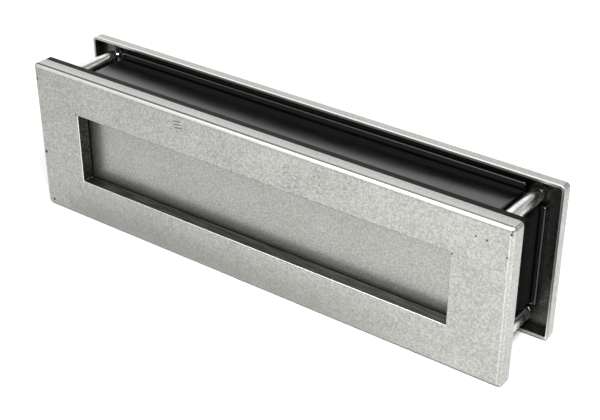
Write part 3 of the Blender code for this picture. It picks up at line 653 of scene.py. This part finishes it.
def soften(node, width, material):
    """Gives a CAD node worn arrises, smooth shading and a material, by modifiers only."""
    obj = NODES[node]
    obj.data.shade_smooth()
    weld = obj.modifiers.new("weld", "WELD")
    weld.merge_threshold = WELD_DISTANCE
    flatten = obj.modifiers.new("flatten", "DECIMATE")
    flatten.decimate_type = "DISSOLVE"
    flatten.angle_limit = FLAT_ANGLE
    bevel = obj.modifiers.new("arris", "BEVEL")
    bevel.limit_method = "ANGLE"
    bevel.angle_limit = ARRIS_ANGLE
    bevel.width = width
    bevel.segments = ARRIS_SEGMENTS
    bevel.use_clamp_overlap = False
    normals = obj.modifiers.new("normals", "WEIGHTED_NORMAL")
    normals.weight = 80
    normals.keep_sharp = False
    obj.data.materials.clear()
    obj.data.materials.append(material)


# Turned pieces

def object_from(name, form):
    """A linked object from a bmesh, which is freed."""
    mesh = bpy.data.meshes.new(name)
    form.to_mesh(mesh)
    form.free()
    made = bpy.data.objects.new(name, mesh)
    bpy.context.scene.collection.objects.link(made)
    return made


def new_piece(name, form, material, body, node):
    """A finished piece from a bmesh: painted, riding on its body, standing for its CAD node."""
    bmesh.ops.recalc_face_normals(form, faces=form.faces)
    made = object_from(name, form)
    made.data.shade_smooth()
    made.data.set_sharp_from_angle(angle=CREASE_ANGLE)
    made.data.materials.append(material)
    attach(made, body)
    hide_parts(node)


def lathe(form, profile, centre):
    """Spins a profile of (radius, depth) round the Y axis through a centre, into a bmesh."""
    rings = []
    for radius, depth in profile:
        if radius == 0:
            rings.append([form.verts.new((centre.x, depth, centre.z))])
            continue
        ring = []
        for step in range(ROUND_STEPS):
            angle = 2 * math.pi * step / ROUND_STEPS
            x = centre.x + radius * math.cos(angle)
            z = centre.z + radius * math.sin(angle)
            ring.append(form.verts.new((x, depth, z)))
        rings.append(ring)
    for first, second in zip(rings, rings[1:]):
        for step in range(ROUND_STEPS):
            following = (step + 1) % ROUND_STEPS
            corners = [
                first[step % len(first)],
                first[following % len(first)],
                second[following % len(second)],
                second[step % len(second)],
            ]
            unique = list(dict.fromkeys(corners))
            if len(unique) > 2:
                form.faces.new(unique)


def post_profile(radius, end):
    """A post's outline: square shoulder, groove, collar, rolled end and the bore for the screw."""
    collar = end - POST_COLLAR
    profile = [
        (0, POST_START_Y),
        (radius, POST_START_Y),
        (radius, collar - POST_GROOVE),
        (radius - POST_GROOVE, collar - POST_GROOVE * 0.8),
        (radius - POST_GROOVE, collar - POST_GROOVE * 0.2),
        (radius, collar),
    ]
    for step in range(POST_EDGE_STEPS + 1):
        angle = math.pi / 2 * step / POST_EDGE_STEPS
        rolled_radius = radius - POST_EDGE + POST_EDGE * math.cos(angle)
        profile.append((rolled_radius, end - POST_EDGE + POST_EDGE * math.sin(angle)))
    profile += [
        (POST_BORE_RADIUS + POST_EDGE / 2, end),
        (POST_BORE_RADIUS, end - POST_EDGE / 2),
        (POST_BORE_RADIUS, end - POST_BORE_DEPTH),
        (0, end - POST_BORE_DEPTH),
    ]
    return profile


def post(corner, material):
    """A turned post."""
    node = "sleeve_post_" + corner
    low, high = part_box(node)
    form = bmesh.new()
    lathe(form, post_profile((high.x - low.x) / 2, high.y), (low + high) / 2)
    new_piece("post_" + corner, form, material, "outer_assembly", node)


def threaded_shank(form, centre, start, end):
    """A machine thread between two depths, closed at its tip and at the head."""
    rows = round((end - start) / THREAD_PITCH * THREAD_ROWS)
    rings = []
    for row in range(rows + 1):
        depth = start + (end - start) * row / rows
        taper = min(1.0, row / THREAD_ROWS)
        ring = []
        for column in range(THREAD_COLUMNS):
            angle = 2 * math.pi * column / THREAD_COLUMNS
            phase = (depth / THREAD_PITCH - column / THREAD_COLUMNS) % 1.0
            crest = abs(2 * phase - 1)
            radius = SHANK_RADIUS - THREAD_DEPTH * (1 - crest * taper)
            x = centre.x + radius * math.cos(angle)
            z = centre.z + radius * math.sin(angle)
            ring.append(form.verts.new((x, depth, z)))
        rings.append(ring)
    for first, second in zip(rings, rings[1:]):
        for column in range(THREAD_COLUMNS):
            following = (column + 1) % THREAD_COLUMNS
            form.faces.new((first[column], first[following], second[following], second[column]))
    form.faces.new(rings[0])
    form.faces.new(rings[-1])


def slot_cutter(centre, top):
    """The block that cuts a screw's slot."""
    form = bmesh.new()
    bmesh.ops.create_cube(form, size=1.0)
    size = (HEAD_RADIUS * 3, SLOT_DEPTH * 2, SLOT_HALF_WIDTH * 2)
    bmesh.ops.scale(form, vec=size, verts=form.verts)
    bmesh.ops.translate(form, vec=(centre.x, top, centre.z), verts=form.verts)
    return object_from("slot_cutter", form)


def cut_head(centre, top):
    """The slotted countersunk head, as a mesh."""
    form = bmesh.new()
    low = top - HEAD_RIM
    neck = low - (HEAD_RADIUS - SHANK_RADIUS)
    profile = [
        (0, neck),
        (SHANK_RADIUS - THREAD_DEPTH, neck),
        (SHANK_RADIUS, neck),
        (HEAD_RADIUS, low),
        (HEAD_RADIUS, top - HEAD_EDGE),
        (HEAD_RADIUS - HEAD_EDGE, top),
        (0, top),
    ]
    lathe(form, profile, centre)
    bmesh.ops.recalc_face_normals(form, faces=form.faces)
    head = object_from("head", form)
    cutter = slot_cutter(centre, top)
    cut = head.modifiers.new("slot", "BOOLEAN")
    cut.object = cutter
    cut.solver = "EXACT"
    shapes = bpy.context.evaluated_depsgraph_get()
    result = bpy.data.meshes.new_from_object(head.evaluated_get(shapes))
    bpy.data.objects.remove(head)
    bpy.data.objects.remove(cutter)
    return result


def screw(corner, material):
    """A slotted countersunk machine screw with a real thread."""
    node = "fixing_screw_" + corner
    low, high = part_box(node)
    centre = (low + high) / 2
    head = cut_head(centre, high.y)
    form = bmesh.new()
    neck = high.y - HEAD_RIM - (HEAD_RADIUS - SHANK_RADIUS)
    threaded_shank(form, centre, low.y, neck)
    bmesh.ops.recalc_face_normals(form, faces=form.faces)
    form.from_mesh(head)
    new_piece("screw_" + corner, form, material, "inner_assembly", node)


# Springs

def wire_piece(name, route, side, body, material):
    """A piece of spring wire along a route, riding on a body."""
    curve = bpy.data.curves.new(name, "CURVE")
    curve.dimensions = "3D"
    curve.bevel_depth = SPRING_WIRE_RADIUS
    curve.bevel_resolution = 3
    curve.use_fill_caps = True
    spline = curve.splines.new("POLY")
    spline.points.add(len(route) - 1)
    for point, place in zip(spline.points, route):
        point.co = (*place, 1)
    made = bpy.data.objects.new(name, curve)
    bpy.context.scene.collection.objects.link(made)
    made.data.materials.append(material)
    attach(made, body)
    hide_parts("outer_flap_spring_" + side)


def spring(side, material):
    """A close-wound torsion spring: its coil stays on the pin, its long leg turns with the flap."""
    sign = -1 if side == "left" else 1
    end_angle = math.pi / 2 + SPRING_WALL_LEG_ANGLE
    sweep = math.pi - end_angle + 2 * math.pi * SPRING_TURNS
    steps = round(sweep / (2 * math.pi) * SPRING_STEPS_PER_TURN)
    centre = OUTER_AXIS + Vector((sign * SPRING_START_X, 0, 0))
    coil = []
    for step in range(steps + 1):
        angle = math.pi - sweep * step / steps
        along = sign * SPRING_PITCH * sweep / (2 * math.pi) * step / steps
        offset = Vector((0, math.cos(angle), math.sin(angle))) * SPRING_MEAN_RADIUS
        coil.append(centre + offset + Vector((along, 0, 0)))
    wall_leg = Vector((0, math.cos(SPRING_WALL_LEG_ANGLE), math.sin(SPRING_WALL_LEG_ANGLE)))
    coil.append(coil[-1] + wall_leg * SPRING_WALL_LEG)
    flap_leg = [coil[0] - Vector((0, 0, SPRING_FLAP_LEG)), coil[0]]
    wire_piece("spring_coil_" + side, coil, side, "outer_assembly", material)
    wire_piece("spring_leg_" + side, flap_leg, side, "outer_flap", material)


# The studio

def floor():
    """A wide pale floor just under the letter plate."""
    form = bmesh.new()
    bmesh.ops.create_grid(form, x_segments=8, y_segments=8, size=FLOOR_SIZE)
    made = object_from("floor", form)
    made.location.z = cad_low.z - FLOOR_DROP
    made.data.materials.append(paper_floor("paper_floor"))


def softbox():
    """A rectangular area light above and in front of the right end."""
    light = bpy.data.lights.new("softbox", "AREA")
    light.shape = "RECTANGLE"
    light.size, light.size_y = SOFTBOX_SIZE
    light.energy = SOFTBOX_POWER
    made = bpy.data.objects.new("softbox", light)
    made.location = SOFTBOX_PLACE
    facing = Vector(SOFTBOX_TARGET) - Vector(SOFTBOX_PLACE)
    made.rotation_euler = facing.to_track_quat("-Z", "Y").to_euler()
    bpy.context.scene.collection.objects.link(made)


def sky_panel(tree, direction, panel):
    """The brightness that one panel gives each direction."""
    centre, inner, outer, strength = panel
    facing = tree.nodes.new("ShaderNodeVectorMath")
    facing.operation = "DOT_PRODUCT"
    tree.links.new(direction, facing.inputs[0])
    facing.inputs[1].default_value = Vector(centre).normalized()
    made = tree.nodes.new("ShaderNodeMapRange")
    made.interpolation_type = "SMOOTHSTEP"
    tree.links.new(facing.outputs["Value"], made.inputs["Value"])
    made.inputs["From Min"].default_value = math.cos(math.radians(outer))
    made.inputs["From Max"].default_value = math.cos(math.radians(inner))
    made.inputs["To Min"].default_value = 0
    made.inputs["To Max"].default_value = strength
    return made.outputs["Result"]


def sky():
    """The studio round the object: a dim even light and large soft panels."""
    world = bpy.data.worlds.new("studio")
    bpy.context.scene.world = world
    world.use_nodes = True
    tree = world.node_tree
    direction = tree.nodes.new("ShaderNodeTexCoord").outputs["Generated"]
    level = None
    for panel in SKY_PANELS:
        brightness = sky_panel(tree, direction, panel)
        total = tree.nodes.new("ShaderNodeMath")
        tree.links.new(brightness, total.inputs[1])
        if level is None:
            total.inputs[0].default_value = SKY_LEVEL
        else:
            tree.links.new(level, total.inputs[0])
        level = total.outputs[0]
    background = tree.nodes["Background"]
    background.inputs["Color"].default_value = (1, 1, 1, 1)
    tree.links.new(level, background.inputs["Strength"])


def studio_camera():
    """The camera, above the plate and to the right of its front."""
    back = Vector((
        math.sin(CAMERA_TURN) * math.cos(CAMERA_RISE),
        -math.cos(CAMERA_TURN) * math.cos(CAMERA_RISE),
        math.sin(CAMERA_RISE),
    ))
    data = bpy.data.cameras.new("camera")
    data.lens = CAMERA_LENS
    data.shift_x, data.shift_y = CAMERA_SHIFT
    data.clip_start = 0.01
    data.clip_end = 30
    made = bpy.data.objects.new("camera", data)
    place = Matrix.Translation(CAMERA_TARGET + back * CAMERA_DISTANCE)
    turn = (-back).to_track_quat("-Z", "Y").to_matrix().to_4x4()
    made.matrix_world = place @ turn @ Matrix.Rotation(CAMERA_ROLL, 4, "Z")
    bpy.context.scene.collection.objects.link(made)
    bpy.context.scene.camera = made


# Making everything

studio_camera()
sky()
floor()
softbox()
bpy.context.scene.view_settings.view_transform = "Standard"

plate_metal = pewter("pewter_outer_plate", aperture_recess)
tray_metal = pewter("pewter_inner_plate", tray_recess)
flap_metal = pewter("pewter_flap", flap_shade)
black = moulding("black_moulding")
zinc = turned_steel("zinc_posts")
wire = drawn_wire("spring_wire")

FINISHES = {
    "outer_plate": (PLATE_ARRIS, plate_metal),
    "outer_flap": (SMALL_ARRIS, flap_metal),
    "inner_plate": (TRAY_ARRIS, tray_metal),
    "inner_flap": (SMALL_ARRIS, flap_metal),
    "outer_sleeve": (OUTER_SLEEVE_ARRIS, black),
    "inner_sleeve": (INNER_SLEEVE_ARRIS, black),
    "outer_flap_pin": (SMALL_ARRIS, zinc),
    "outer_pin_clip_left": (SMALL_ARRIS, wire),
    "outer_pin_clip_right": (SMALL_ARRIS, wire),
    "inner_flap_pin_left": (SMALL_ARRIS, zinc),
    "inner_flap_pin_right": (SMALL_ARRIS, zinc),
}
for node_name, (arris, finish) in FINISHES.items():
    soften(node_name, arris, finish)
for corner_name in CORNERS:
    post(corner_name, zinc)
    screw(corner_name, zinc)
for side_name in SIDES:
    spring(side_name, wire)
